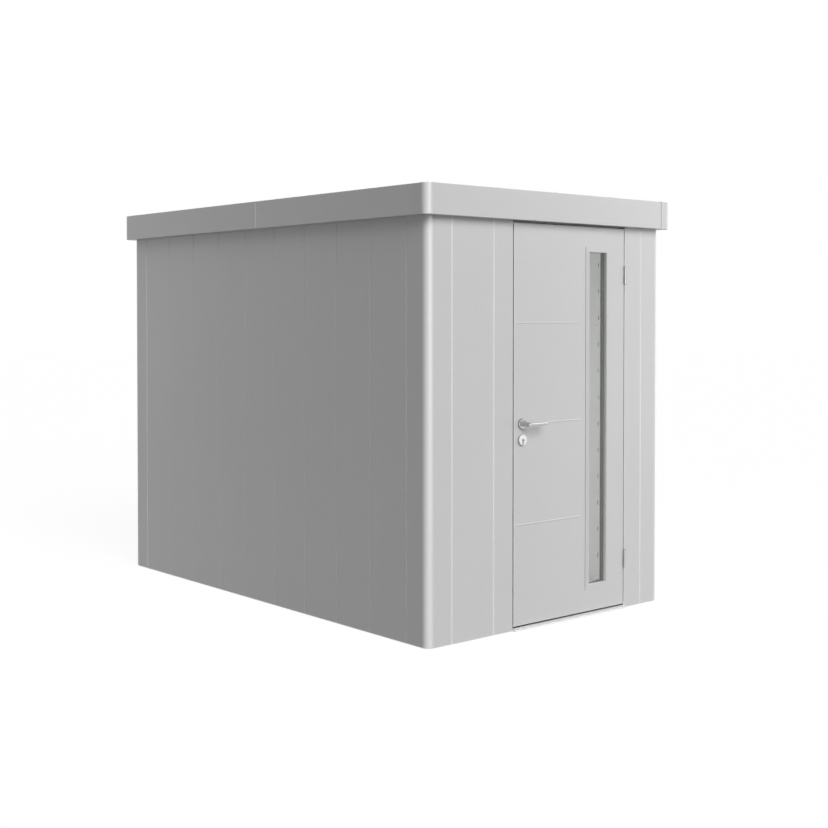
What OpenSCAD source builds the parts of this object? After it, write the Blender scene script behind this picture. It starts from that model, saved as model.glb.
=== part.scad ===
// Flat-roofed tool shed of folded sheet-steel panels with a hinged door.
// Millimetres. +Z is up, the door is in the -Y face, and the origin is on the ground at the middle.

/* [Plan] */
// Pitch of the wall panels, seam to seam
panel_w = 280; // [260:5:320]
// Panels in each side wall, between its corner elements
side_panels = 9; // [5:1:13]
// Panels in the front wall, to the left of the door bay
front_panels = 1; // [1:1:4]
// Panel pitches that the door bay takes up in the front wall
door_bay_panels = 4; // [4:1:5]
// Leg of a corner element, along either wall
corner_leg = 155; // [130:5:200]
// Outer radius of the rounded wall corners
corner_r = 40; // [20:1:60]

/* [Heights] */
// Height from the ground to the top of the fascia
total_h = 2220; // [2050:10:2400]
// Height of the fascia band
fascia_h = 150; // [135:5:200]
// How far the walls run up behind the fascia
wall_lap = 30; // [20:1:40]

/* [Wall panels] */
// Thickness of the wall sheet
sheet = 1; // [0.6:0.1:1.5]
// Depth of a panel's side flanges
panel_d = 40; // [30:1:50]
// Width of the lip on a flange
lip_w = 15; // [8:1:20]
// Outer radius of a folded edge
fold_r = 5; // [2:0.5:8]
// Open joint between neighbouring sheets
seam = 0.4; // [0.3:0.1:0.9]

/* [Base rails] */
// Thickness of the base rail's sole
base_t = 4; // [3:0.5:6]
// Distance of the sole's inner edge from the outside of the wall
base_w = 84; // [75:1:110]
// Height of the upright rib behind the panels
base_rib_h = 45; // [30:1:60]
// Bore of the anchor holes
anchor_d = 10; // [8:0.5:14]
// Distance between the two anchor holes of a side rail
anchor_pitch = 2000; // [800:50:2200]

/* [Fascia and top rails] */
// Overhang of the fascia beyond the wall
overhang = 45; // [35:1:60]
// Outer radius of the fascia's corners
fascia_r = 40; // [25:1:44]
// Leg of a fascia corner piece, from its outer corner
fascia_leg = 80; // [70:1:120]
// Thickness of the fascia sheet
fascia_t = 1.5; // [1:0.1:2]
// Outer radius of the fascia's folded edges
fascia_fold_r = 3; // [2:0.5:8]
// Clearance between a fascia sheet and the piece or corner that laps it
fascia_play = 0.5; // [0.3:0.1:1]
// How far a lapped joint lies past the middle of a side's fascia
fascia_lap = 22; // [0:1:60]
// Length of the tongue that closes a lapped joint from behind
fascia_tongue_l = 30; // [15:1:60]
// Reach of the fascia's top flange inside the wall face
fascia_cap = 16; // [12:1:25]
// Drop of the lip on the top flange
fascia_lip_h = 12; // [8:1:20]
// Thickness of the top rail
rail_t = 2; // [1.5:0.1:3]

/* [Roof] */
// Fall of the roof from front to rear
roof_fall = 30; // [10:1:34]
// Clearance between the pans' standing edges and the fascia's lip
roof_gap = 2; // [1:0.5:6]
// Number of roof pans side by side
roof_pans_n = 3; // [2:1:5]
// Height of a pan's standing edges
pan_edge_h = 24; // [18:1:26]
// Height of the roof beams
beam_h = 40; // [30:1:44]
// Width of the roof beams
beam_w = 50; // [40:1:80]
// Wall of the roof beams
beam_t = 2; // [1.5:0.1:3]
// Number of roof beams
beams_n = 4; // [3:1:6]
// Width of the rear gutter
gutter_w = 100; // [80:1:140]
// Depth of the rear gutter
gutter_h = 40; // [34:1:42]
// How far the pans reach out over the gutter
pan_lap = 15; // [5:1:30]
// Bore of the gutter's spout
spout_d = 30; // [20:1:30]
// Reach of the spout beyond the fascia
spout_out = 15; // [10:1:40]
// Distance of the spout from the end of the rear wall
spout_u = 150; // [120:1:400]

/* [Door] */
// Width of the door leaf
door_w = 840; // [720:5:860]
// Thickness of the door leaf
door_t = 46; // [40:1:50]
// Outer radius of the leaf's upright edges
door_fold_r = 5; // [2:0.5:8]
// Gap between the leaf and the frame on either side
door_gap = 5; // [5:0.5:8]
// Gap between the top of the leaf and the fascia
door_head_gap = 10; // [7:1:20]
// Height of the leaf's lower edge above the ground
door_foot_z = 23; // [21:1:32]
// Thickness of the door's sheets
door_sheet = 1.2; // [0.8:0.1:1.5]
// Overlap of the door stop behind the leaf
stop_lap = 15; // [8:1:20]
// Thickness of the door stop
stop_t = 15; // [10:1:20]
// Depth of the header's face behind the wall face
header_set = 20; // [10:1:35]
// Top of the sill above the ground
sill_h = 16; // [10:1:16]
// Nose of the sill outside the wall
sill_nose = 18; // [5:1:30]

/* [Door window and beads] */
// Clear width of the window
window_w = 139; // [100:1:160]
// Distance from the window to the hinge edge of the leaf
window_side = 141; // [100:1:160]
// Distance from the window to the top of the leaf
window_head = 132; // [80:1:200]
// Distance from the window to the foot of the leaf
window_foot = 139; // [80:1:200]
// Wall of the window frame
window_wall = 4; // [3:0.5:6]
// Width of the window frame's outer lip
window_lip = 8; // [5:1:14]
// Depth of the pane's face behind the door face
pane_set = 21; // [12:1:26]
// Thickness of the pane
pane_t = 4; // [3:0.5:6]
// Width of a pressed bead
bead_w = 8; // [7:0.5:12]
// Height of a pressed bead
bead_h = 2; // [1.5:0.1:3]
// Distance from the upright bead to the window
bead_side = 28; // [22:1:50]
// How far the upright bead runs past the window at either end
bead_over = 27; // [10:1:50]
// Distance of the level beads from the lock edge of the leaf
bead_edge = 21; // [15:1:40]
// Distance of the level beads from the upright bead
bead_stop = 39; // [25:1:60]
// Height of the lowest level bead above the ground
bead_first_z = 534; // [400:1:600]
// Distance between the level beads
bead_pitch = 511; // [400:1:560]
// Number of level beads
bead_count = 3; // [1:1:3]

/* [Handle and lock] */
// Height of the handle above the ground
handle_z = 1045; // [900:5:1150]
// Distance from the handle to the lock edge of the leaf
backset = 57; // [50:1:70]
// Distance between the handle and the lock cylinder
lock_drop = 82; // [70:1:92]
// Diameter of the rosettes
rosette_d = 53; // [46:1:56]
// Thickness of the rosettes
rosette_t = 10; // [6:0.5:11]
// Diameter of the lever's arm
lever_d = 19; // [14:0.5:22]
// Diameter of the lever's neck
neck_d = 22; // [18:0.5:26]
// Reach of the lever from its spindle
lever_len = 130; // [100:1:150]
// Distance from the door face to the lever's centre line
lever_out = 58; // [44:1:70]
// Side of the square spindle
spindle_a = 8; // [6:0.5:9]

/* [Hinges] */
// Height of a hinge
hinge_h = 96; // [80:1:140]
// Diameter of the hinge barrel
hinge_d = 12; // [11:0.5:18]
// Diameter of the hinge pin
hinge_pin_d = 7; // [5:0.5:8]
// Distance from the top of the leaf to the upper hinge
hinge_head = 201; // [100:1:300]
// Distance from the foot of the leaf to the lower hinge
hinge_foot = 201; // [100:1:300]
// Depth of the hinge plates in the door gap
hinge_plate_d = 30; // [20:1:35]
// Thickness of the hinge plates
hinge_plate_t = 2; // [1.5:0.1:2.2]

/* [Hidden] */
$fn = 48;
// Cuts run this far past the faces that they open
over = 1;
// Clearance of a part that slips into another
slip = 0.3;
// Clearance of the hinge barrels and of the two knuckles
knuckle_gap = 1;

front = 0;
right = 1;
rear = 2;
left = 3;

rear_panels = front_panels + door_bay_panels;
wall_w = 2 * corner_leg + rear_panels * panel_w;
wall_d = 2 * corner_leg + side_panels * panel_w;
fascia_z = total_h - fascia_h;
fascia_step = fascia_t + fascia_play;
wall_top = fascia_z + wall_lap;

// Door bay, measured along the front wall from its left end
bay_u = corner_leg + front_panels * panel_w;
opening_w = door_w + 2 * door_gap;
jamb_w = (door_bay_panels * panel_w - opening_w) / 2;
opening_u = bay_u + jamb_w;
leaf_u = opening_u + door_gap;
leaf_end = leaf_u + door_w;
leaf_top = fascia_z - door_head_gap;
leaf_h = leaf_top - door_foot_z;
stop_v = door_t + door_gap;
reveal_d = stop_v + stop_t;
header_z = leaf_top + door_gap;
stop_w = door_gap + stop_lap;

// Window and beads, in the same measure
window_u = leaf_end - window_side - window_w;
window_z = door_foot_z + window_foot;
window_h = leaf_top - window_head - window_z;
upright_u = window_u - bead_side;
level_u = leaf_u + bead_edge;
level_len = upright_u - bead_stop - level_u;
bead_r = (bead_w * bead_w / 4 + bead_h * bead_h) / (2 * bead_h);
bead_clear = 5;

// Lock side
handle_u = leaf_u + backset;
lock_z = handle_z - lock_drop;
case_beyond = 18;
case_w = backset + case_beyond;
case_t = 20;
case_over = 60;
case_under = 50;
case_v = (door_t - case_t) / 2;
neck_seat = 1;
neck_in = rosette_t - neck_seat;
spindle_in = 15;
plug_d = 17;
plug_stem_w = 10;
plug_stem_h = 19.5;
plug_proud = 2;
plug_faces = rosette_t + plug_proud;

// Hinge axis, in the middle of the door gap and just outside the wall face
hinge_u = leaf_end + door_gap / 2;
hinge_v = -hinge_d / 2 - knuckle_gap;
hinge_zs = [door_foot_z + hinge_foot, leaf_top - hinge_head - hinge_h];
knuckle_h = (hinge_h - knuckle_gap) / 2;

// Base rail
rib_v = panel_d + slip;
rib_t = base_t;
sole_in = 2;
anchor_v = (rib_v + rib_t + base_w) / 2;

// Top rail, and the roof tray inside it
rail_v = 1;
rail_foot = panel_d;
rail_top = total_h - fascia_t;
tray_v = rail_v + rail_t;
gutter_z = wall_top + rail_t;
gutter_lip_v = tray_v + gutter_w;
roof_v = tray_v + slip;
roof_run = wall_d - 2 * tray_v;
roof_angle = atan(roof_fall / roof_run);
roof_z = total_h - fascia_lip_h - roof_gap - pan_edge_h - sheet;
pans_w = wall_w - 2 * roof_v;
pan_w = (pans_w - (roof_pans_n - 1) * seam) / roof_pans_n;
pan_len = roof_run - gutter_w + pan_lap;
pan_rib_w = 40;
pan_rib_h = 6;
ledger_w = 35;
ledger_leg = 35;
ledger_stop = 10;
ledger_len = roof_run - gutter_w - ledger_stop;
beam_first = 5;
beam_step = (ledger_len - beam_w - 2 * beam_first) / (beams_n - 1);
cap_w = 2 * sheet + seam + 2 * slip;
cap_h = 12;
spout_t = 1.5;
spout_z = gutter_z + sheet + spout_t + spout_d / 2;

silver = [0.72, 0.73, 0.74];
steel = [0.78, 0.78, 0.79];
alloy = [0.66, 0.67, 0.68];
zinc = [0.60, 0.62, 0.64];
clear = [0.80, 0.84, 0.82, 0.5];

// Stands a wall's own measure in the plan: u along the wall, v inwards from its face, z up.
module wall_frame(side) {
    x = side == front || side == left ? -wall_w / 2 : wall_w / 2;
    y = side == front || side == right ? -wall_d / 2 : wall_d / 2;
    translate([x, y, 0]) rotate([0, 0, side * 90]) children();
}

function wall_length(side) = side % 2 == 0 ? wall_w : wall_d;

// Runs a section, drawn as v across and z up, along a wall.
module along_wall(u, length) {
    translate([u, 0, 0]) rotate([90, 0, 90]) linear_extrude(length) children();
}

// What a round of radius r takes off the corner of a square at the origin.
module corner_sliver(r) {
    difference() {
        translate([-over, -over]) square(r + over);
        translate([r, r]) circle(r);
    }
}

// Plan of the wall's outer face, drawn in by an inset.
module footprint(inset) {
    r = corner_r - inset;
    w = wall_w - 2 * inset;
    d = wall_d - 2 * inset;
    square([w - 2 * r, d], center = true);
    square([w, d - 2 * r], center = true);
    for (x = [-1, 1], y = [-1, 1]) translate([x * (w / 2 - r), y * (d / 2 - r)]) circle(r);
}

// Filled section of a panel with its two face edges rounded by r, drawn in by an inset.
module panel_block(w, d, r, inset) {
    difference() {
        translate([inset, inset]) square([w - 2 * inset, d - 2 * inset]);
        translate([inset, inset]) corner_sliver(r - inset);
        translate([w - inset, inset]) mirror([1, 0]) corner_sliver(r - inset);
    }
}

// Section of a folded panel: face, two flanges and their lips.
module panel_section(w) {
    difference() {
        panel_block(w, panel_d, fold_r, 0);
        panel_block(w, panel_d, fold_r, sheet);
        translate([lip_w, panel_d / 2]) square([w - 2 * lip_w, panel_d]);
    }
}

module wall_sheet() {
    translate([0, 0, base_t]) linear_extrude(wall_top - base_t) children();
}

module panel_row(first, count) {
    for (i = [0 : count - 1])
        translate([first + i * panel_w + seam / 2, 0, 0]) wall_sheet() panel_section(panel_w - seam);
}

// Filled plan of a corner element, drawn in by an inset.
module corner_block(inset) {
    leg = corner_leg - seam / 2 - inset;
    depth = panel_d - inset;
    difference() {
        translate([inset, inset]) square(leg - inset);
        translate([depth, depth]) square(leg);
        translate([inset, inset]) corner_sliver(corner_r - inset);
        translate([leg, inset]) mirror([1, 0]) corner_sliver(fold_r - inset);
        translate([inset, leg]) mirror([0, 1]) corner_sliver(fold_r - inset);
    }
}

module corner_element(side) {
    mouth = corner_leg - seam / 2 - lip_w - panel_d / 2;
    color(silver) wall_frame(side) wall_sheet() difference() {
        corner_block(0);
        corner_block(sheet);
        translate([panel_d / 2, panel_d / 2]) square([mouth, panel_d]);
        translate([panel_d / 2, panel_d / 2]) square([panel_d, mouth]);
    }
}

module wall(side, count) {
    color(silver) wall_frame(side) panel_row(corner_leg, count);
}

// Sole and upright rib of a base rail between two places along a wall.
module base_rail_run(from, to, rib_from, rib_to) {
    translate([from, sole_in, 0]) cube([to - from, base_w - sole_in, base_t]);
    translate([rib_from, rib_v, 0]) cube([rib_to - rib_from, rib_t, base_rib_h]);
}

module side_base_rail(side) {
    length = wall_length(side);
    color(alloy) difference() {
        intersection() {
            wall_frame(side) base_rail_run(0, length, rib_v, length - rib_v);
            linear_extrude(base_rib_h) footprint(sole_in);
        }
        wall_frame(side) for (end = [-1, 1])
            translate([length / 2 + end * anchor_pitch / 2, anchor_v, -over])
                cylinder(d = anchor_d, h = base_t + 2 * over);
    }
}

module base_rail_rear() {
    color(alloy) wall_frame(rear) base_rail_run(base_w, wall_w - base_w, base_w, wall_w - base_w);
}

// The ribs stop short of the jambs' reveals.
module base_rail_front() {
    stop = sheet + slip;
    bay_end = opening_u + opening_w;
    color(alloy) wall_frame(front) {
        base_rail_run(base_w, opening_u, base_w, opening_u - stop);
        base_rail_run(bay_end, wall_w - base_w, bay_end + stop, wall_w - base_w);
    }
}

// Threshold with a rounded nose and a fall to the outside.
module door_sill() {
    nose_r = 4;
    color(alloy) wall_frame(front) along_wall(opening_u, opening_w) {
        polygon([
            [-sill_nose + nose_r, 0], [base_w, 0], [base_w, sill_h],
            [0, sill_h], [-sill_nose + nose_r, 2 * nose_r]
        ]);
        translate([-sill_nose + nose_r, nose_r]) circle(nose_r);
    }
}

// Jamb panel: the reveal on its door side runs on behind the leaf.
module jamb_section() {
    w = jamb_w - seam / 2;
    panel_section(w);
    translate([w - sheet, panel_d / 2]) square([sheet, reveal_d - panel_d / 2]);
}

module door_jamb_left() {
    color(silver) wall_frame(front) translate([bay_u + seam / 2, 0, 0]) wall_sheet() jamb_section();
}

module door_jamb_right() {
    color(silver) wall_frame(front)
        translate([opening_u + opening_w + jamb_w - seam / 2, 0, 0])
            mirror([1, 0, 0]) wall_sheet() jamb_section();
}

// Header over the leaf, set back so that the joint under the fascia lies in shade.
module door_header() {
    color(silver) wall_frame(front) along_wall(opening_u, opening_w) {
        translate([header_set, header_z]) square([sheet, wall_top - header_z]);
        translate([header_set, header_z]) square([reveal_d - header_set, sheet]);
        translate([header_set, wall_top - sheet]) square([panel_d - header_set, sheet]);
    }
}

// Angle strips behind the leaf at both sides and the head, and one on the sill.
module door_stops() {
    leg_t = 2;
    side_z = sill_h;
    head_u = opening_u + stop_w + slip;
    color(alloy) wall_frame(front) {
        for (hand = [0, 1]) translate([opening_u + opening_w / 2, 0, side_z]) mirror([hand, 0, 0])
            translate([-opening_w / 2, stop_v, 0]) {
                cube([stop_w, leg_t, header_z - side_z]);
                cube([leg_t, stop_t, header_z - side_z]);
            }
        along_wall(head_u, opening_w - 2 * (stop_w + slip)) {
            translate([stop_v, header_z - stop_w]) square([leg_t, stop_w]);
            translate([stop_v, header_z - leg_t]) square([stop_t, leg_t]);
        }
        along_wall(head_u, opening_w - 2 * (stop_w + slip)) {
            translate([stop_v, sill_h]) square([leg_t, stop_w]);
            translate([stop_v, sill_h]) square([stop_t, leg_t]);
        }
    }
}

// Top rail: foot on the panels, web, and an arm out to the fascia.
module top_rail(side) {
    corner = side % 2 == 0 ? rail_v + rail_foot : rail_v;
    arm = overhang - fascia_step - fascia_fold_r - fascia_t;
    color(zinc) wall_frame(side) along_wall(corner, wall_length(side) - 2 * corner) {
        translate([rail_v, wall_top]) square([rail_foot, rail_t]);
        translate([rail_v, wall_top]) square([rail_t, rail_top - wall_top]);
        translate([-arm, rail_top - rail_t]) square([arm + tray_v, rail_t]);
    }
}

// Round bar through the rear fascia and top rail, where the spout goes out.
module spout_bar(d, from_v, to_v) {
    translate([spout_u, to_v, spout_z]) rotate([90, 0, 0]) cylinder(d = d, h = to_v - from_v);
}

module spout_hole() {
    wall_frame(rear) spout_bar(spout_d + 2 * (spout_t + slip), -overhang - over, tray_v + over);
}

module top_rail_rear() {
    color(zinc) difference() {
        top_rail(rear);
        spout_hole();
    }
}

// Filled fascia section, its face set back by a step, and all of it drawn in by an inset.
module fascia_block(step, inset) {
    face_v = -overhang + step + inset;
    r = fascia_fold_r - inset;
    difference() {
        translate([face_v, fascia_z + inset]) square([fascia_cap - inset - face_v, fascia_h - 2 * inset]);
        translate([face_v, fascia_z + inset]) corner_sliver(r);
        translate([face_v, total_h - inset]) mirror([0, 1]) corner_sliver(r);
    }
}

// Fascia section: bottom flange to the wall, face, top flange and its lip.
module fascia_section(step) {
    difference() {
        fascia_block(step, 0);
        fascia_block(step, fascia_t);
        translate([-slip, fascia_z - over])
            square([fascia_cap + overhang, fascia_h - fascia_lip_h + over]);
    }
}

// Tongue on a stepped face, between the folds of the piece that laps it.
module fascia_tongue() {
    edge = fascia_fold_r + fascia_play;
    translate([-overhang + fascia_step, fascia_z + edge]) square([fascia_t, fascia_h - 2 * edge]);
}

// Fascia between two corners: the last piece stands back, with a tongue behind the one that laps it.
module fascia(side, pieces) {
    first = fascia_leg - overhang;
    pitch = (wall_length(side) - 2 * first) / pieces;
    color(silver) wall_frame(side) for (i = [0 : pieces - 1]) {
        last = i == pieces - 1;
        from = first + i * pitch + (i > 0 ? fascia_lap : 0);
        to = first + (i + 1) * pitch + (last ? 0 : fascia_lap);
        along_wall(from + seam / 2, to - from - seam) fascia_section(last ? fascia_step : 0);
        if (i > 0) along_wall(from - fascia_tongue_l, fascia_tongue_l + seam) fascia_tongue();
    }
}

module fascia_rear() {
    color(silver) difference() {
        fascia(rear, 1);
        spout_hole();
    }
}

// One arm of a fascia corner, cut to the mitre.
module fascia_corner_arm() {
    end = fascia_leg - overhang;
    intersection() {
        along_wall(fascia_r - overhang, fascia_leg - fascia_r) fascia_section(0);
        translate([0, 0, fascia_z - over]) linear_extrude(fascia_h + 2 * over)
            polygon([[-overhang, -overhang], [end + over, -overhang], [end + over, end + over]]);
    }
}

module fascia_corner() {
    centre = fascia_r - overhang;
    end = fascia_leg - overhang;
    fascia_corner_arm();
    mirror([1, -1, 0]) fascia_corner_arm();
    translate([centre, centre, 0]) rotate([0, 0, 180]) rotate_extrude(angle = 90) intersection() {
        translate([centre, 0]) mirror([1, 0]) fascia_section(0);
        translate([0, fascia_z - over]) square([fascia_r + over, fascia_h + 2 * over]);
    }
    translate([-slip, -slip, fascia_z]) linear_extrude(fascia_t) intersection() {
        corner_sliver(corner_r + slip);
        translate([-over / 2, -over / 2]) square(end + slip + over / 2);
    }
}

module fascia_corners() {
    color(silver) for (side = [front : left]) wall_frame(side) fascia_corner();
}

// Stands the roof's own measure: x across, y down the fall, z square to the roof pans.
module roof_frame() {
    translate([0, -wall_d / 2 + tray_v, roof_z]) rotate([-roof_angle, 0, 0]) children();
}

module roof_ledgers() {
    color(zinc) roof_frame() for (hand = [0, 1]) mirror([hand, 0, 0])
        translate([-wall_w / 2 + roof_v, beam_first, -beam_h - beam_t]) {
            cube([ledger_w, ledger_len - beam_first, beam_t]);
            cube([beam_t, ledger_len - beam_first, ledger_leg]);
        }
}

module roof_beams() {
    length = wall_w - 2 * (roof_v + beam_t + slip);
    color(zinc) roof_frame() for (i = [0 : beams_n - 1])
        translate([-length / 2, beam_first + i * beam_step, -beam_h]) difference() {
            cube([length, beam_w, beam_h]);
            translate([-over, beam_t, beam_t])
                cube([length + 2 * over, beam_w - 2 * beam_t, beam_h - 2 * beam_t]);
        }
}

// Pressed stiffening rib of a roof pan, as its outer or its inner outline.
module pan_rib(inset) {
    polygon([
        [-pan_rib_w / 2 + inset, 0], [pan_rib_w / 2 - inset, 0],
        [pan_rib_w / 2 - pan_rib_h - inset / 2, pan_rib_h - inset],
        [-pan_rib_w / 2 + pan_rib_h + inset / 2, pan_rib_h - inset]
    ]);
}

module pan_section() {
    rib_pitch = pan_w / 3;
    difference() {
        union() {
            square([pan_w, sheet]);
            for (x = [0, pan_w - sheet]) translate([x, 0]) square([sheet, pan_edge_h]);
            for (i = [1, 2]) translate([i * rib_pitch, 0]) pan_rib(0);
        }
        for (i = [1, 2]) translate([i * rib_pitch, 0]) pan_rib(sheet);
    }
}

module roof_pans() {
    color(zinc) roof_frame() for (i = [0 : roof_pans_n - 1])
        translate([-pans_w / 2 + i * (pan_w + seam), slip, 0]) {
            translate([0, pan_len, 0]) rotate([90, 0, 0]) linear_extrude(pan_len) pan_section();
            cube([pan_w, sheet, pan_edge_h]);
        }
}

module roof_seam_caps() {
    color(zinc) roof_frame() for (i = [1 : roof_pans_n - 1])
        translate([-pans_w / 2 + i * (pan_w + seam) - seam / 2, slip, pan_edge_h - cap_h]) difference() {
            translate([-cap_w / 2 - sheet, 0, 0]) cube([cap_w + 2 * sheet, pan_len, cap_h + sheet]);
            translate([-cap_w / 2, sheet + slip, -over]) cube([cap_w, pan_len, cap_h + over]);
            translate([-cap_w, -over, -over]) cube([2 * cap_w, sheet + slip + over, cap_h + over]);
        }
}

// Trough behind the rear top rail, with a spout out through the fascia.
module rear_gutter() {
    length = wall_w - 2 * roof_v;
    color(zinc) wall_frame(rear) difference() {
        union() {
            translate([roof_v, roof_v, gutter_z]) cube([length, gutter_w - slip, gutter_h]);
            spout_bar(spout_d + 2 * spout_t, -overhang - spout_out, roof_v + sheet);
        }
        translate([roof_v + sheet, roof_v + sheet, gutter_z + sheet])
            cube([length - 2 * sheet, gutter_w - slip - 2 * sheet, gutter_h]);
        spout_bar(spout_d, -overhang - spout_out - over, roof_v + sheet + over);
    }
}

// One half of a lift-off hinge: its knuckle, and a plate back into the door gap.
module hinge_half(plate_u) {
    cylinder(d = hinge_d, h = knuckle_h);
    translate([plate_u, 0, 0]) cube([hinge_plate_t, hinge_plate_d - hinge_v, knuckle_h]);
}

module frame_hinges() {
    pin_h = hinge_h - knuckle_gap * 2;
    color(steel) wall_frame(front) for (z = hinge_zs) translate([hinge_u, hinge_v, z]) {
        hinge_half(door_gap / 2 - hinge_plate_t);
        cylinder(d = hinge_pin_d, h = pin_h);
    }
}

module door_hinges() {
    color(steel) wall_frame(front) for (z = hinge_zs)
        translate([hinge_u, hinge_v, z + knuckle_h + knuckle_gap]) difference() {
            hinge_half(-door_gap / 2);
            translate([0, 0, -over]) cylinder(d = hinge_pin_d + 2 * slip, h = knuckle_h);
        }
}

// A block through the door at the window, larger all round than the clear opening.
module window_block(grow, v, depth) {
    translate([window_u - grow, v, window_z - grow])
        cube([window_w + 2 * grow, depth, window_h + 2 * grow]);
}

// Round bar along x with ball ends, lying so deep in the door face that a bead stands out of it.
module bead_bar(length, r) {
    translate([0, bead_r - bead_h, 0]) {
        rotate([0, 90, 0]) cylinder(r = r, h = length);
        for (x = [0, length]) translate([x, 0, 0]) sphere(r);
    }
}

// Bars of all the beads, thinner by an inset; the bead at the handle stops short of the rosette.
module door_beads(inset) {
    r = bead_r - inset;
    keep = rosette_d / 2 + bead_clear + inset;
    difference() {
        for (i = [0 : bead_count - 1])
            translate([level_u, 0, bead_first_z + i * bead_pitch]) bead_bar(level_len, r);
        translate([leaf_u, -door_t, handle_z - keep]) cube([backset + keep, 2 * door_t, 2 * keep]);
    }
    translate([upright_u, 0, window_z - bead_over]) rotate([0, -90, 0])
        bead_bar(window_h + 2 * bead_over, r);
}

// Holes for the spindle and the lock cylinder, through the whole leaf.
module lock_bores(clearance) {
    translate([handle_u, -over, handle_z]) rotate([-90, 0, 0])
        cylinder(d = spindle_a * sqrt(2) + 2 * clearance, h = door_t + 2 * over);
    translate([handle_u, 0, lock_z]) cylinder_block(-over, door_t + 2 * over, clearance);
}

// Profile of the lock cylinder: a round plug over a stem with a round foot.
module cylinder_block(v, length, grow) {
    translate([0, v + length, 0]) rotate([90, 0, 0]) linear_extrude(length) {
        circle(d = plug_d + 2 * grow);
        translate([-plug_stem_w / 2 - grow, -plug_stem_h]) square([plug_stem_w + 2 * grow, plug_stem_h]);
        translate([0, -plug_stem_h]) circle(d = plug_stem_w + 2 * grow);
    }
}

module door_outer_sheet() {
    depth = door_t - door_sheet;
    color(silver) wall_frame(front) difference() {
        union() {
            translate([leaf_u, 0, door_foot_z]) difference() {
                linear_extrude(leaf_h) panel_block(door_w, depth, door_fold_r, 0);
                translate([0, 0, door_sheet]) linear_extrude(leaf_h - 2 * door_sheet)
                    panel_block(door_w, door_t + over, door_fold_r, door_sheet);
            }
            intersection() {
                door_beads(0);
                translate([leaf_u, -bead_h - over, door_foot_z])
                    cube([door_w, bead_h + over + door_sheet, leaf_h]);
            }
        }
        door_beads(door_sheet);
        window_block(window_wall + slip, -over, door_t);
        lock_bores(slip);
        lock_plate(slip);
    }
}

module door_inner_sheet() {
    color(silver) wall_frame(front) difference() {
        translate([leaf_u, door_t - door_sheet, door_foot_z]) cube([door_w, door_sheet, leaf_h]);
        window_block(window_wall + slip, 0, door_t + over);
        lock_bores(slip);
    }
}

// Liner of the window with a lip on either face and a rebate for the pane.
module window_frame() {
    lip_t = 1.5;
    color(silver) wall_frame(front) difference() {
        union() {
            window_block(window_wall, 0, door_t);
            for (v = [-lip_t, door_t]) window_block(window_wall + window_lip, v, lip_t);
        }
        window_block(0, -lip_t - over, door_t + 2 * (lip_t + over));
        window_block(window_wall / 2, pane_set - slip, pane_t + 2 * slip);
    }
}

module window_pane() {
    color(clear) wall_frame(front) window_block(window_wall / 2 - slip, pane_set, pane_t);
}

// Front plate of the lock in the edge of the leaf.
module lock_plate(grow) {
    translate([leaf_u, case_v - grow, lock_z - case_under - grow])
        cube([door_sheet + over, case_t + 2 * grow, handle_z + case_over - lock_z + case_under + 2 * grow]);
}

module lock_case() {
    border = 15;
    color(steel) wall_frame(front) difference() {
        union() {
            lock_plate(0);
            translate([leaf_u + door_sheet, case_v, lock_z - case_under - border])
                cube([case_w, case_t, handle_z + case_over - lock_z + case_under + 2 * border]);
        }
        lock_bores(slip);
    }
}

module lock_cylinder() {
    color(steel) wall_frame(front) translate([handle_u, 0, lock_z])
        cylinder_block(-plug_faces, door_t + 2 * plug_faces, 0);
}

// Round rosette with an eased rim, standing on the face at v = 0 towards the outside.
module rosette() {
    rim_r = 2.5;
    r = rosette_d / 2;
    rotate([90, 0, 0]) rotate_extrude() {
        square([r, rosette_t - rim_r]);
        square([r - rim_r, rosette_t]);
        translate([r - rim_r, rosette_t - rim_r]) circle(rim_r);
    }
}

// The two rosettes of one door face: a round bore for the lever, a shaped one for the lock.
module rosette_pair() {
    difference() {
        translate([handle_u, 0, handle_z]) rosette();
        translate([handle_u, over, handle_z]) rotate([90, 0, 0])
            cylinder(d = neck_d + 2 * slip, h = rosette_t + 2 * over);
    }
    difference() {
        translate([handle_u, 0, lock_z]) rosette();
        translate([handle_u, 0, lock_z]) cylinder_block(-rosette_t - over, rosette_t + 2 * over, slip);
    }
}

// Mirrors what stands on the outer door face to the inner one.
module inside_face() {
    translate([0, door_t, 0]) mirror([0, 1, 0]) children();
}

module outside_rosettes() {
    color(steel) wall_frame(front) rosette_pair();
}

module inside_rosettes() {
    color(steel) wall_frame(front) inside_face() rosette_pair();
}

// Bent round lever: a neck out of the rosette, a ball at the elbow and an arm with a round end.
module lever() {
    arm = lever_len - lever_d / 2;
    translate([handle_u, 0, handle_z]) difference() {
        union() {
            translate([0, -neck_in, 0]) rotate([90, 0, 0]) cylinder(d = neck_d, h = lever_out - neck_in);
            translate([0, -lever_out, 0]) {
                sphere(d = neck_d);
                rotate([0, 90, 0]) cylinder(d = lever_d, h = arm);
                translate([arm, 0, 0]) sphere(d = lever_d);
            }
        }
        spindle_block(slip / 3);
    }
}

// Square spindle through the leaf into both levers, about the handle's axis.
module spindle_block(grow) {
    a = spindle_a + 2 * grow;
    reach = rosette_t + spindle_in;
    translate([-a / 2, -reach, -a / 2]) cube([a, door_t + 2 * reach, a]);
}

module lever_outside() {
    color(steel) wall_frame(front) lever();
}

module lever_inside() {
    color(steel) wall_frame(front) inside_face() lever();
}

module handle_spindle() {
    color(steel) wall_frame(front) translate([handle_u, 0, handle_z]) spindle_block(0);
}

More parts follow.
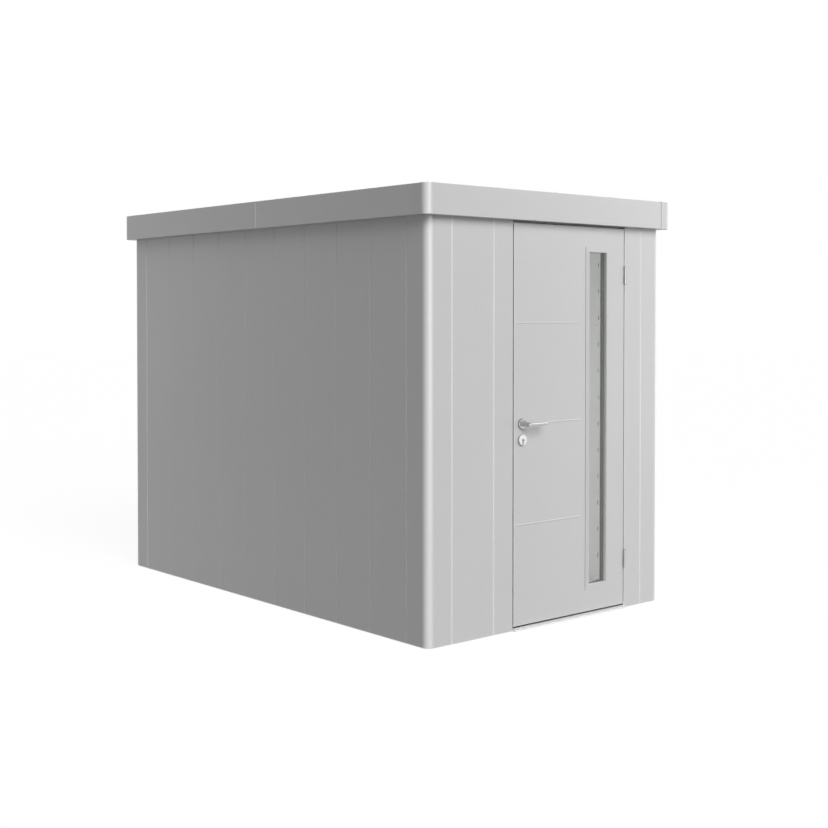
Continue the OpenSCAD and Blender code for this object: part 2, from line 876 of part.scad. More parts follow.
base_rail_front();
side_base_rail(right);  // base_rail_right
base_rail_rear();
side_base_rail(left);  // base_rail_left
door_sill();
corner_element(front);  // corner_front_left
corner_element(right);  // corner_front_right
corner_element(rear);  // corner_rear_right
corner_element(left);  // corner_rear_left
wall(front, front_panels);  // front_wall
wall(right, side_panels);  // right_wall
wall(rear, rear_panels);  // rear_wall
wall(left, side_panels);  // left_wall
door_jamb_left();
door_jamb_right();
door_header();
door_stops();
top_rail(front);  // top_rail_front
top_rail(right);  // top_rail_right
top_rail_rear();
top_rail(left);  // top_rail_left
fascia(front, 1);  // fascia_front
fascia(right, 2);  // fascia_right
fascia_rear();
fascia(left, 2);  // fascia_left
fascia_corners();
roof_ledgers();
roof_beams();
roof_pans();
roof_seam_caps();
rear_gutter();
frame_hinges();
door_outer_sheet();
door_inner_sheet();
window_frame();
window_pane();
door_hinges();
lock_case();
lock_cylinder();
outside_rosettes();
inside_rosettes();
lever_outside();
lever_inside();
handle_spindle();
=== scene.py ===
import math
from functools import partial

import bmesh
import bpy
from bpy.props import FloatProperty, FloatVectorProperty, IntProperty, PointerProperty
from mathutils import Matrix, Vector
from mathutils.bvhtree import BVHTree


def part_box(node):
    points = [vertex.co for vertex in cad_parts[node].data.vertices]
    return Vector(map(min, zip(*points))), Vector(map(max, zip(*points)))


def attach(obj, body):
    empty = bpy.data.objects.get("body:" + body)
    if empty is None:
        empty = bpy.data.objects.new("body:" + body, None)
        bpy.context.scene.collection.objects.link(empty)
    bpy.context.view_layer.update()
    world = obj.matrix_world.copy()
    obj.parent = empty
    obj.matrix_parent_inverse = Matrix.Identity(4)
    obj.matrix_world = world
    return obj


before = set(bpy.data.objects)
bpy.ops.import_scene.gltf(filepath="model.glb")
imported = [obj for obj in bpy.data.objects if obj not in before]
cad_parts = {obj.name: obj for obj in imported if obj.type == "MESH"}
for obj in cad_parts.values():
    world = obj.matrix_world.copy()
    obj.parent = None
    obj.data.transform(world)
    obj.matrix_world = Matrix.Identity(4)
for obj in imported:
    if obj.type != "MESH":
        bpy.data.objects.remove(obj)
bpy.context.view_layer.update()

bl_info = {
    "name": "Metal Tool Shed Finish",
    "version": (1, 0, 0),
    "blender": (4, 5, 0),
    "location": "View3D > Sidebar > Shed",
    "description": "Coats a folded sheet-metal tool shed and adds its seals, fasteners and lock trim",
    "category": "Object",
}

# Nodes of the frame by finish
COATED = [
    "right_wall", "left_wall", "door_header", "fascia_front", "fascia_right", "fascia_rear", "fascia_left",
    "door_inner_sheet", "window_frame",
]
# Nodes whose coat gets a painted highlight on its rounded corners and folds
PAINTED_HIGHLIGHT_PARTS = [
    "corner_front_left", "corner_front_right", "corner_rear_right", "corner_rear_left", "fascia_corners",
    "front_wall", "rear_wall", "door_jamb_left", "door_jamb_right", "door_outer_sheet",
]
EXTRUDED = [
    "base_rail_front", "base_rail_right", "base_rail_rear", "base_rail_left", "door_sill", "door_stops",
]
GALVANISED = [
    "top_rail_front", "top_rail_right", "top_rail_rear", "top_rail_left", "roof_ledgers", "roof_beams",
    "roof_pans", "roof_seam_caps", "rear_gutter",
]
STAINLESS = [
    "frame_hinges", "door_hinges", "lock_case", "lock_cylinder", "outside_rosettes", "inside_rosettes",
    "lever_outside", "lever_inside", "handle_spindle",
]

# Ways that a piece can point
UP, DOWN = Vector((0, 0, 1)), Vector((0, 0, -1))
FRONT, BACK = Vector((0, -1, 0)), Vector((0, 1, 0))
LEFT = Vector((-1, 0, 0))

# Places that the added pieces take from the frame
LEAF_LOW, LEAF_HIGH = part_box("door_inner_sheet")
LEAF_BACK = LEAF_HIGH.y
LEAF_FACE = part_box("front_wall")[0].y
SILL_LOW, SILL_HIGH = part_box("door_sill")
PANE_LOW, PANE_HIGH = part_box("window_pane")
STOP_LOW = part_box("door_stops")[0]
WALL_LOW, WALL_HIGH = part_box("left_wall")[0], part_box("right_wall")[1]
KNUCKLE_LOW, KNUCKLE_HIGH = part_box("door_hinges")
HINGE_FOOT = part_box("frame_hinges")[0].z
HINGE_TALL = 2 * (KNUCKLE_LOW.z - HINGE_FOOT)
HINGE_FEET = (HINGE_FOOT, KNUCKLE_HIGH.z - HINGE_TALL)
ROSETTE_LOW, ROSETTE_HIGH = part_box("outside_rosettes")
ROSETTE_R = (ROSETTE_HIGH.x - ROSETTE_LOW.x) / 2
HANDLE = Vector(((ROSETTE_LOW.x + ROSETTE_HIGH.x) / 2, LEAF_FACE, ROSETTE_HIGH.z - ROSETTE_R))
KEY = Vector((HANDLE.x, LEAF_FACE, ROSETTE_LOW.z + ROSETTE_R))

# Sharpest angle that still shades as a smooth surface
CREASE = math.radians(35)


def length(label, about, default):
    """A size in metres that a user can change."""
    return FloatProperty(
        name=label, description=about, default=default, min=0.0, max=10.0, precision=4,
        subtype="DISTANCE", unit="LENGTH",
    )


def share(label, about, default):
    """A value from 0 to 1 that a user can change."""
    return FloatProperty(name=label, description=about, default=default, min=0.0, max=1.0, subtype="FACTOR")


def tint(label, about, default):
    """A colour that a user can change."""
    return FloatVectorProperty(
        name=label, description=about, default=default, size=3, min=0.0, max=1.0, subtype="COLOR",
    )


def angle(label, about, degrees):
    """An angle that a user can change."""
    return FloatProperty(
        name=label, description=about, default=math.radians(degrees), subtype="ANGLE", unit="ROTATION",
    )


def watts(label, about, default):
    """The power of a lamp that a user can change."""
    return FloatProperty(name=label, description=about, default=default, min=0.0, unit="POWER")


class ShedFinishSettings(bpy.types.PropertyGroup):
    """Colours and grain of the shed's surfaces."""

    coat_colour: tint("Coat", "Colour of the silver coat on the sheets", (0.60, 0.60, 0.60))
    coat_roughness: share("Coat roughness", "How matt the silver coat is", 0.42)
    coat_metal: share("Coat metal", "How much of the coat's sheen is metal flake", 0.10)
    # Painted highlight: how much the coat's colour is lightened on rounded corners and folds
    coat_painted_highlight: share("Coat painted highlight", "How much the coat lightens on rounded corners and folds", 0.40)
    flake_size: length("Flake size", "Size of a metal flake in the coat", 0.0012)
    alloy_colour: tint("Alloy", "Colour of the mill-finish aluminium", (0.76, 0.76, 0.77))
    zinc_colour: tint("Zinc", "Colour of the galvanised sheet", (0.56, 0.58, 0.60))
    spangle_size: length("Spangle size", "Size of a zinc crystal", 0.014)
    steel_colour: tint("Stainless", "Colour of the satin stainless steel", (0.50, 0.50, 0.50))
    fixing_colour: tint("Fixings", "Colour of the zinc-plated screws and bolts", (0.66, 0.67, 0.69))
    # Painted reflection and painted light: near white, so the key covers look as if they reflect the bright
    # surroundings and the window reveal is lifted out of the shade of its recess
    trim_colour_painted_light: tint("Painted light trim", "Colour of the key cover and the window reveal", (0.90, 0.90, 0.90))
    pane_colour: tint("Pane", "Tint of the clear window pane", (0.94, 0.96, 0.92))
    # Also the colour that paints the shade in the door gaps, in the key slots and round the rosettes
    rubber_colour: tint("Rubber", "Colour of the door seals", (0.022, 0.022, 0.024))
    gasket_colour: tint("Gasket", "Colour of the gaskets round the window pane", (0.28, 0.28, 0.28))
    # Painted shade: the dark lining behind the pane stands in for the shade inside the door's reveal
    reveal_shade_colour: tint("Painted shade lining", "Colour of the lining behind the window pane", (0.11, 0.11, 0.11))


class ShedFittingSettings(bpy.types.PropertyGroup):
    """Sizes of the seals, fasteners and trim."""

    panel_pitch: length("Panel pitch", "Distance between two panel seams", 0.280)
    clip_count: IntProperty(
        name="Seam clips", description="Clips up each panel seam", default=3, min=1, max=8,
    )
    clip_width: length("Clip width", "Width of a seam clip", 0.026)
    strip_width: length("Strip width", "Width of a hook strip", 0.040)
    slot_first: length("Lowest slot", "Height of the lowest slot of a hook strip", 0.201)
    slot_pitch: length("Slot pitch", "Distance between the slots of a hook strip", 0.153)
    slot_width: length("Slot width", "Width of a slot in a hook strip", 0.007)
    slot_height: length("Slot height", "Height of a slot in a hook strip", 0.025)
    screw_size: length("Screw size", "Diameter of the head of a pan-head screw", 0.010)
    bolt_size: length("Bolt size", "Width across the flats of an anchor bolt", 0.017)
    seal_size: length("Seal size", "Diameter of the door seal's bulb", 0.005)
    gasket_width: length("Gasket width", "Width of the bead round the window pane", 0.003)
    # Painted shade: black beads just behind the face in the door's upright gaps make the gaps read dark
    gap_shade_bead: length("Gap shade bead", "Thickness of the rubber beads in the door's upright gaps", 0.0017)
    joint_bead: length("Joint bead", "Thickness of the seal in the fascia's joints", 0.004)
    cap_screw_pitch: length("Cap screw pitch", "Distance between the screws on top of the fascia", 0.418)


class ShedStageSettings(bpy.types.PropertyGroup):
    """Camera and light of the stage."""

    camera_place: FloatVectorProperty(
        name="Camera place", description="Where the camera stands", default=(-4.987, -6.144, 1.597),
        subtype="XYZ", unit="LENGTH",
    )
    camera_heading: angle("Camera heading", "Turn of the camera from +Y towards +X", 40.557)
    camera_dip: angle("Camera dip", "Tilt of the camera below the horizon", 1.209)
    camera_lens: FloatProperty(
        name="Lens", description="Focal length of the camera", default=57.652, subtype="DISTANCE_CAMERA",
    )
    camera_shift: FloatProperty(name="Rise", description="Vertical shift of the camera", default=-0.0862)
    key_strength: FloatProperty(
        name="Key lamp", description="Strength of the soft high light in front", default=2.76, min=0.0,
    )
    key_spread: angle("Key spread", "How wide the high light in front is", 42.0)
    glint_power: watts("Glint lamp", "Power of the tall lamp that shows in rounded edges", 125.0)
    gloss_power: watts("Gloss lamp", "Power of the wide lamp on the right that shows in metal", 50.0)
    right_power: watts("Right lamp", "Power of the lamp that lifts the right end of the front", 18.0)
    side_power: watts("Side lamp", "Power of the lamp behind the left side", 21.0)
    room_power: watts("Room lamp", "Power of the soft fill inside the shed", 19.0)
    horizon: share("Horizon", "Brightness of the surroundings at eye level", 0.02)
    zenith: share("Zenith", "Brightness of the surroundings overhead", 0.16)
    floor_tone: share("Floor tone", "How much of the lamps' light the floor throws back", 0.11)
    floor_white: share("Floor white", "How white the floor looks before light falls on it", 0.93)


# Node trees

def wire(tree, kind, inputs=None, **options):
    """Adds a node, sets its options, and links or sets its inputs."""
    node = tree.nodes.new(kind)
    for key, value in options.items():
        setattr(node, key, value)
    for key, value in (inputs or {}).items():
        if isinstance(value, bpy.types.NodeSocket):
            tree.links.new(value, node.inputs[key])
        else:
            node.inputs[key].default_value = value
    return node


def maths(tree, operation, *values):
    """The result of a Math node on sockets or numbers."""
    return wire(tree, "ShaderNodeMath", dict(enumerate(values)), operation=operation).outputs[0]


def spread(tree, value, low, high):
    """Maps a 0 to 1 value to the range from low to high."""
    mapped = wire(tree, "ShaderNodeMapRange", {"Value": value, "To Min": low, "To Max": high})
    return mapped.outputs["Result"]


def noise(tree, place, scale, detail):
    """A soft noise from 0 to 1 with a number of waves per metre."""
    made = wire(tree, "ShaderNodeTexNoise", {"Vector": place, "Scale": scale, "Detail": detail})
    return made.outputs["Fac"]


def opaque(colour):
    """A colour property as the four values of a colour socket."""
    return (*colour, 1.0)


def grain_group(name, more):
    """An empty node group that takes a colour, a roughness and more, and puts out grain."""
    tree = bpy.data.node_groups.new(name, "ShaderNodeTree")
    grey = (0.6, 0.6, 0.6, 1.0)
    given = [("Colour", "NodeSocketColor", grey), ("Roughness", "NodeSocketFloat", 0.4), *more]
    for label, kind, default in given:
        tree.interface.new_socket(label, in_out="INPUT", socket_type=kind).default_value = default
    for label, kind in (("Colour", "Color"), ("Roughness", "Float"), ("Height", "Float")):
        tree.interface.new_socket(label, in_out="OUTPUT", socket_type=f"NodeSocket{kind}")
    return tree, tree.nodes.new("NodeGroupInput").outputs


def put_out(tree, given, value, rough, height):
    """Ends a grain group: its colour times a value near 1, its roughness plus a value, and a height."""
    toned = wire(tree, "ShaderNodeHueSaturation", {"Color": given["Colour"], "Value": value})
    wire(tree, "NodeGroupOutput", {
        "Colour": toned.outputs["Color"], "Roughness": maths(tree, "ADD", given["Roughness"], rough),
        "Height": height,
    })
    return tree


def flake_group():
    """Metal flakes, faint clouding and orange peel of a sprayed coat, with a painted highlight that
    lightens its colour on rounded corners and folds.
    """
    tree, given = grain_group("Silver Flakes", [
        ("Flakes per metre", "NodeSocketFloat", 800.0), ("Painted Highlight", "NodeSocketFloat", 0.4),
    ])
    place = wire(tree, "ShaderNodeTexCoord").outputs
    flake = wire(tree, "ShaderNodeTexVoronoi", {
        "Vector": place["Object"], "Scale": given["Flakes per metre"],
    })
    glint = wire(tree, "ShaderNodeSeparateColor", {"Color": flake.outputs["Color"]}).outputs
    cloud = noise(tree, place["Object"], 1.7, 3.0)
    peel = noise(tree, place["Object"], 260.0, 2.0)
    sparkle = spread(tree, glint["Red"], 0.93, 1.07)
    bright = maths(tree, "MULTIPLY", sparkle, spread(tree, cloud, 0.975, 1.025))
    # Painted highlight: the colour lightens where the normal lies between X and Y, on rounded corners and
    # folds
    facing = wire(tree, "ShaderNodeSeparateXYZ", {"Vector": place["Normal"]}).outputs
    highlight_mask = maths(tree, "ABSOLUTE", maths(tree, "MULTIPLY", facing["X"], facing["Y"]))
    highlight_gain = maths(tree, "MULTIPLY_ADD", highlight_mask, given["Painted Highlight"], 0.5)
    value = maths(tree, "MULTIPLY", maths(tree, "MULTIPLY", highlight_gain, bright), 2.0)
    return put_out(tree, given, value, spread(tree, glint["Green"], -0.05, 0.05), peel)


def drawn_group():
    """Fine lines along one direction, as drawn or brushed metal has."""
    tree, given = grain_group("Drawn Lines", [("Lines", "NodeSocketVector", (1.0, 1.0, 1.0))])
    place = wire(tree, "ShaderNodeTexCoord").outputs["Object"]
    drawn = wire(tree, "ShaderNodeVectorMath", {0: place, 1: given["Lines"]}, operation="MULTIPLY")
    lines = noise(tree, drawn.outputs[0], 1.0, 4.0)
    stain = noise(tree, place, 9.0, 3.0)
    value = maths(tree, "MULTIPLY", spread(tree, lines, 0.88, 1.12), spread(tree, stain, 0.94, 1.06))
    return put_out(tree, given, value, spread(tree, lines, -0.08, 0.10), lines)


def spangle_group():
    """Zinc crystals of a hot-dip galvanised sheet, with faint run marks."""
    tree, given = grain_group("Zinc Spangle", [("Crystals per metre", "NodeSocketFloat", 70.0)])
    place = wire(tree, "ShaderNodeTexCoord").outputs["Object"]
    bent = wire(tree, "ShaderNodeTexNoise", {"Vector": place, "Scale": 40.0, "Detail": 2.0})
    shifted = wire(tree, "ShaderNodeVectorMath", {
        0: bent.outputs["Color"], 1: (0.012, 0.012, 0.012), 2: place,
    }, operation="MULTIPLY_ADD")
    crystal = wire(tree, "ShaderNodeTexVoronoi", {
        "Vector": shifted.outputs[0], "Scale": given["Crystals per metre"],
    })
    facet = wire(tree, "ShaderNodeSeparateColor", {"Color": crystal.outputs["Color"]}).outputs
    run = noise(tree, place, 3.0, 4.0)
    value = maths(tree, "MULTIPLY", spread(tree, facet["Red"], 0.84, 1.14), spread(tree, run, 0.92, 1.08))
    return put_out(tree, given, value, spread(tree, facet["Green"], -0.12, 0.12), facet["Blue"])


def grained_material(name, group, inputs, bump, values):
    """A material whose colour, roughness and bump (strength, depth) come from a shared grain group."""
    made = bpy.data.materials.new(name)
    made.use_nodes = True
    tree = made.node_tree
    shader = tree.nodes["Principled BSDF"]
    grain = wire(tree, "ShaderNodeGroup", node_tree=group)
    for key, value in inputs.items():
        grain.inputs[key].default_value = value
    relief = wire(tree, "ShaderNodeBump", {
        "Height": grain.outputs["Height"], "Strength": bump[0], "Distance": bump[1],
    })
    tree.links.new(grain.outputs["Colour"], shader.inputs["Base Color"])
    tree.links.new(grain.outputs["Roughness"], shader.inputs["Roughness"])
    tree.links.new(relief.outputs["Normal"], shader.inputs["Normal"])
    for key, value in values.items():
        shader.inputs[key].default_value = value
    return made


def pane_material(colour):
    """Clear acrylic sheet with the faintest haze."""
    made = bpy.data.materials.new("clear_acrylic")
    made.use_nodes = True
    tree = made.node_tree
    shader = tree.nodes["Principled BSDF"]
    haze = noise(tree, wire(tree, "ShaderNodeTexCoord").outputs["Object"], 14.0, 3.0)
    tree.links.new(spread(tree, haze, 0.0, 0.012), shader.inputs["Roughness"])
    shader.inputs["Base Color"].default_value = opaque(colour)
    shader.inputs["Transmission Weight"].default_value = 1.0
    shader.inputs["IOR"].default_value = 1.49
    return made


def build_finishes(finish):
    """Makes every material of the shed once, from its grain, colour, roughness, bump and shader values."""
    flakes, drawn, spangle = flake_group(), drawn_group(), spangle_group()
    sprayed = {"Flakes per metre": 1.0 / finish.flake_size}
    lacquer = {"Metallic": finish.coat_metal, "Coat Weight": 0.25, "Coat Roughness": 0.30}
    soft = ({"Lines": (240.0, 240.0, 240.0)}, (0.15, 0.0003), {})
    made = {}
    for key, name, group, colour, roughness, grain, bump, values in (
        ("coat", "silver_coat", flakes, finish.coat_colour, finish.coat_roughness,
         {**sprayed, "Painted Highlight": 0.0}, (0.06, 0.0004), lacquer),
        # The silver coat with a painted highlight on rounded corners and folds
        ("bent", "silver_coat_painted_highlight", flakes, finish.coat_colour, finish.coat_roughness,
         {**sprayed, "Painted Highlight": finish.coat_painted_highlight}, (0.06, 0.0004), lacquer),
        ("alloy", "mill_alloy", drawn, finish.alloy_colour, 0.36,
         {"Lines": (6.0, 900.0, 900.0)}, (0.08, 0.0003), {"Metallic": 0.85}),
        ("zinc", "galvanised_sheet", spangle, finish.zinc_colour, 0.44,
         {"Crystals per metre": 1.0 / finish.spangle_size}, (0.05, 0.0002), {"Metallic": 0.7}),
        ("steel", "satin_stainless", drawn, finish.steel_colour, 0.24,
         {"Lines": (1500.0, 1500.0, 40.0)}, (0.05, 0.0001), {"Metallic": 1.0}),
        ("fixing", "zinc_plated_fixing", spangle, finish.fixing_colour, 0.30,
         {"Crystals per metre": 260.0}, (0.03, 0.0001), {"Metallic": 1.0}),
        ("rubber", "black_rubber", drawn, finish.rubber_colour, 0.62, *soft),
        ("gasket", "grey_gasket", drawn, finish.gasket_colour, 0.62, *soft),
        # Painted shade for the reveal behind the window pane
        ("lining", "dark_lining", drawn, finish.reveal_shade_colour, 0.62, *soft),
        # Painted light trim: the near-white key covers stand in for a reflection, the lighter reveal lining
        # for light in a shaded recess
        ("cover", "painted_light_trim", flakes, finish.trim_colour_painted_light, 0.30,
         {"Flakes per metre": 6000.0, "Painted Highlight": 0.0}, (0.03, 0.0001),
         {"Metallic": 0.15, "Coat Weight": 0.4, "Coat Roughness": 0.10}),
    ):
        inputs = {"Colour": opaque(colour), "Roughness": roughness, **grain}
        made[key] = grained_material(name, group, inputs, bump, values)
    made["pane"] = pane_material(finish.pane_colour)
    return made


FINISHES = {}


# Modelling helpers

def emit(name, bm, finish, body="shed", slot=None):
    """Turns a bmesh into a piece at the origin that rides on a body."""
    if not bm.faces:
        raise RuntimeError(f"{name} came out without faces")
    bmesh.ops.recalc_face_normals(bm, faces=bm.faces)
    mesh = bpy.data.meshes.new(name)
    bm.to_mesh(mesh)
    bm.free()
    mesh.shade_smooth()
    mesh.set_sharp_from_angle(angle=CREASE)
    mesh.materials.append(FINISHES[finish])
    piece = bpy.data.objects.new(name, mesh)
    bpy.context.scene.collection.objects.link(piece)
    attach(piece, body)


def stamp(bm, shape, places):
    """Makes a shape with a function, and adds a copy at each place: a point and the way of its axis."""
    first = bmesh.new()
    shape(first)
    bmesh.ops.recalc_face_normals(first, faces=first.faces)
    mesh = bpy.data.meshes.new("pattern")
    first.to_mesh(mesh)
    first.free()
    for point, way in places:
        copy = mesh.copy()
        copy.transform(Matrix.LocRotScale(Vector(point), Vector(way).to_track_quat("Z", "Y"), None))
        bm.from_mesh(copy)
        bpy.data.meshes.remove(copy)
    bpy.data.meshes.remove(mesh)


def emit_copies(name, shape, places, finish, **where):
    """Makes one piece of the copies of a shape."""
    bm = bmesh.new()
    stamp(bm, shape, places)
    emit(name, bm, finish, **where)


def points(node):
    """The vertices of a node of the frame."""
    return [vert.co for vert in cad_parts[node].data.vertices]


def block(bm, low, high, ease):
    """A box from its low to its high corner, with eased edges."""
    low, high = Vector(low), Vector(high)
    place = Matrix.LocRotScale((low + high) / 2, None, high - low)
    made = bmesh.ops.create_cube(bm, size=1.0, matrix=place)
    edges = list({edge for vert in made["verts"] for edge in vert.link_edges})
    bmesh.ops.bevel(bm, geom=edges, offset=ease, segments=2, profile=0.5, affect="EDGES", material=-1)


def turned(bm, radius, low, high, sides, ease):
    """A round or many-sided block along Z with an eased upper rim. Returns its top face."""
    made = bmesh.ops.create_cone(
        bm, cap_ends=True, segments=sides, radius1=radius, radius2=radius, depth=high - low,
        matrix=Matrix.Translation((0, 0, (low + high) / 2)),
    )
    faces = {face for vert in made["verts"] for face in vert.link_faces}
    top = max(faces, key=lambda face: face.calc_center_median().z)
    bmesh.ops.bevel(
        bm, geom=list(top.edges), offset=ease, segments=3, profile=0.5, affect="EDGES", material=-1,
    )
    return max(bm.faces, key=lambda face: face.calc_center_median().z)


def lathe(bm, profile):
    """Spins a profile of radius and height once round Z."""
    verts = [bm.verts.new((radius, 0, height)) for radius, height in profile]
    edges = [bm.edges.new(pair) for pair in zip(verts, verts[1:])]
    bmesh.ops.spin(
        bm, geom=verts + edges, cent=(0, 0, 0), axis=UP, angle=math.tau, steps=40, use_merge=True,
    )
    bmesh.ops.remove_doubles(bm, verts=bm.verts, dist=1e-6)


def rod(bm, start, end, radius):
    """A round rod between two points."""
    start, end = Vector(start), Vector(end)
    turn = (end - start).to_track_quat("Z", "Y")
    bmesh.ops.create_cone(
        bm, cap_ends=True, segments=12, radius1=radius, radius2=radius, depth=(end - start).length,
        matrix=Matrix.LocRotScale((start + end) / 2, turn, None),
    )


def thicken(bm, faces, way):
    """Extrudes flat faces into a solid by a vector."""
    pushed = bmesh.ops.extrude_face_region(bm, geom=faces, use_keep_orig=True)["geom"]
    verts = [item for item in pushed if isinstance(item, bmesh.types.BMVert)]
    bmesh.ops.translate(bm, vec=way, verts=verts)


def ring_frame(bm, low, high, width, ease):
    """An upright rectangular frame in the plane of the front, its bars inside the box."""
    low, high = Vector(low), Vector(high)
    corners = ((low.x, low.z), (high.x, low.z), (high.x, high.z), (low.x, high.z))
    pane = bm.faces.new([bm.verts.new((x, low.y, z)) for x, z in corners])
    pane.normal_update()
    ring = bmesh.ops.inset_region(
        bm, faces=[pane], thickness=width, use_boundary=True, use_even_offset=True,
    )["faces"]
    bmesh.ops.delete(bm, geom=[pane], context="FACES")
    thicken(bm, ring, (0, high.y - low.y, 0))
    bmesh.ops.recalc_face_normals(bm, faces=bm.faces)
    bmesh.ops.bevel(
        bm, geom=[edge for edge in bm.edges if edge.calc_face_angle(0) > 1.0], offset=ease, segments=2,
        profile=0.5, affect="EDGES", material=-1,
    )


def pan_head(bm, diameter, height):
    """A pan-head screw with a round socket, its axis along Z."""
    top = turned(bm, diameter / 2, 0, height, sides=16, ease=height * 0.45)
    bm.normal_update()
    bmesh.ops.inset_region(bm, faces=[top], thickness=diameter * 0.12)
    bmesh.ops.inset_region(bm, faces=[top], thickness=diameter * 0.02, depth=-height * 0.55)


def screw(size, height):
    """The shape of a pan-head screw, its height a share of its size."""
    return partial(pan_head, diameter=size, height=size * height)


def hex_bolt(bm, across, height):
    """A hexagon bolt head on a washer, its axis along Z."""
    washer = across * 0.14
    turned(bm, across * 0.95, 0, washer, sides=24, ease=washer * 0.3)
    turned(bm, across * 0.577, washer, washer + height, sides=6, ease=height * 0.12)


def lip_seams(walls, pitch):
    """Every panel seam at ground level on the inner face of the lips, with the way into the room."""
    found = []
    for name in walls:
        low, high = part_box(f"{name}_wall")
        across = name in ("left", "right")
        start, end = (low.y, high.y) if across else (low.x, high.x)
        count = round((end - start) / pitch)
        for i in range(count + 1):
            along = start + i * (end - start) / count
            if across:
                side = high.x if name == "left" else low.x
                found.append((Vector((side, along, 0)), Vector((-math.copysign(1, side), 0, 0))))
            else:
                side = low.y if name == "rear" else high.y
                found.append((Vector((along, side, 0)), Vector((0, -math.copysign(1, side), 0))))
    return found


def carries_strip(seam, pitch):
    """True on every other seam of the side walls, which carries a hook strip in place of clips."""
    place, way = seam
    return abs(way.x) > 0.5 and round((place.y - WALL_LOW.y) / pitch) % 2 == 1


# Operators

class SHED_OT_finish(bpy.types.Operator):
    """Give every sheet, rail and fitting of the frame its finish"""

    bl_idname = "shed.finish"
    bl_label = "Finish the Sheets and Fittings"

    def execute(self, context):
        FINISHES.update(build_finishes(context.scene.shed_finish))
        # The bent sheets get the coat with the painted highlight on their corners and folds
        for finish, names in (("coat", COATED), ("bent", PAINTED_HIGHLIGHT_PARTS), ("alloy", EXTRUDED), ("zinc", GALVANISED),
                              ("steel", STAINLESS), ("pane", ["window_pane"])):
            for name in names:
                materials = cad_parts[name].data.materials
                materials.clear()
                materials.append(FINISHES[finish])
        return {"FINISHED"}


class SHED_OT_panel_clips(bpy.types.Operator):
    """Screw a clip across the two lips of every panel seam, inside the room"""

    bl_idname = "shed.panel_clips"
    bl_label = "Clip the Panel Seams"

    def execute(self, context):
        fitting = context.scene.shed_fitting
        half, rise, thick = fitting.clip_width / 2, fitting.clip_width * 0.75, 0.002
        head = screw(fitting.screw_size * 0.8, 0.375)

        def clip(bm):
            block(bm, (-half, -rise, 0), (half, rise, thick), ease=0.0006)
            stamp(bm, head, [((side * half * 0.55, 0, thick), UP) for side in (-1, 1)])

        end_gap = 0.35
        step = (WALL_HIGH.z - 2 * end_gap) / max(fitting.clip_count - 1, 1)
        heights = [end_gap + step * i for i in range(fitting.clip_count)]
        pitch = fitting.panel_pitch
        walls = ("left", "right", "rear", "front")
        seams = [seam for seam in lip_seams(walls, pitch) if not carries_strip(seam, pitch)]
        places = [(place + UP * z, way) for place, way in seams for z in heights]
        emit_copies("seam_clips", clip, places, "zinc", slot="galvanised")
        return {"FINISHED"}


class SHED_OT_hook_strips(bpy.types.Operator):
    """Put slotted strips for hooks and shelves on every other panel seam of the side walls"""

    bl_idname = "shed.hook_strips"
    bl_label = "Fit the Hook Strips"

    def execute(self, context):
        fitting = context.scene.shed_fitting
        end_gap, seam_gap, thick = 0.06, 0.005, 0.0012
        low, high = end_gap, WALL_HIGH.z - end_gap
        half, slot = fitting.strip_width / 2, fitting.slot_width / 2
        columns = (-half, -slot, slot, half)
        rows = [low]
        for i in range(int((high - fitting.slot_first) / fitting.slot_pitch)):
            middle = fitting.slot_first + fitting.slot_pitch * i
            rows += [middle - fitting.slot_height / 2, middle + fitting.slot_height / 2]
        rows.append(high)

        def strip(bm):
            grid = [[bm.verts.new((x, y, 0)) for x in columns] for y in rows]
            for j in range(len(rows) - 1):
                for i in range(len(columns) - 1):
                    if i != 1 or j % 2 == 0:
                        bm.faces.new((grid[j][i], grid[j][i + 1], grid[j + 1][i + 1], grid[j + 1][i]))
            thicken(bm, bm.faces[:], (0, 0, thick))

        pitch = fitting.panel_pitch
        seams = [seam for seam in lip_seams(("left", "right"), pitch) if carries_strip(seam, pitch)]
        beside = FRONT * (half + seam_gap)
        strips = [(place + beside, way) for place, way in seams]
        emit_copies("hook_strips", strip, strips, "coat", slot="silver_coat")

        screw_off, screw_end, count = 0.010, 0.02, 5
        step = (high - low - 2 * screw_end) / (count - 1)
        heads = [
            (place + way * thick + FRONT * screw_off + UP * (low + screw_end + step * i), way)
            for place, way in seams for i in range(count)
        ]
        emit_copies("strip_screws", screw(fitting.screw_size * 0.7, 0.4), heads, "fixing", slot="stainless")
        return {"FINISHED"}


class SHED_OT_base_fixings(bpy.types.Operator):
    """Bolt the base rails down and screw the panels to them"""

    bl_idname = "shed.base_fixings"
    bl_label = "Fix the Base"

    def execute(self, context):
        fitting = context.scene.shed_fitting
        sole, rib_in, anchor_y = 0.004, 0.0443, 1.0
        bolt_x = (WALL_LOW.x + rib_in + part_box("base_rail_left")[1].x) / 2
        bolts = [(Vector((sx * bolt_x, sy * anchor_y, sole)), UP) for sx in (-1, 1) for sy in (-1, 1)]
        bolt = partial(hex_bolt, across=fitting.bolt_size, height=fitting.bolt_size * 0.6)
        emit_copies("base_anchors", bolt, bolts, "fixing", slot="stainless")

        lip, proud, level = 0.0075, 0.0043, 0.028
        seams = lip_seams(("left", "right", "rear"), fitting.panel_pitch)
        screws = [
            (place + way * proud + way.cross(UP) * side + UP * level, way)
            for place, way in seams for side in (-lip, lip)
        ]
        emit_copies("base_screws", screw(fitting.screw_size, 0.35), screws, "fixing", slot="stainless")
        return {"FINISHED"}


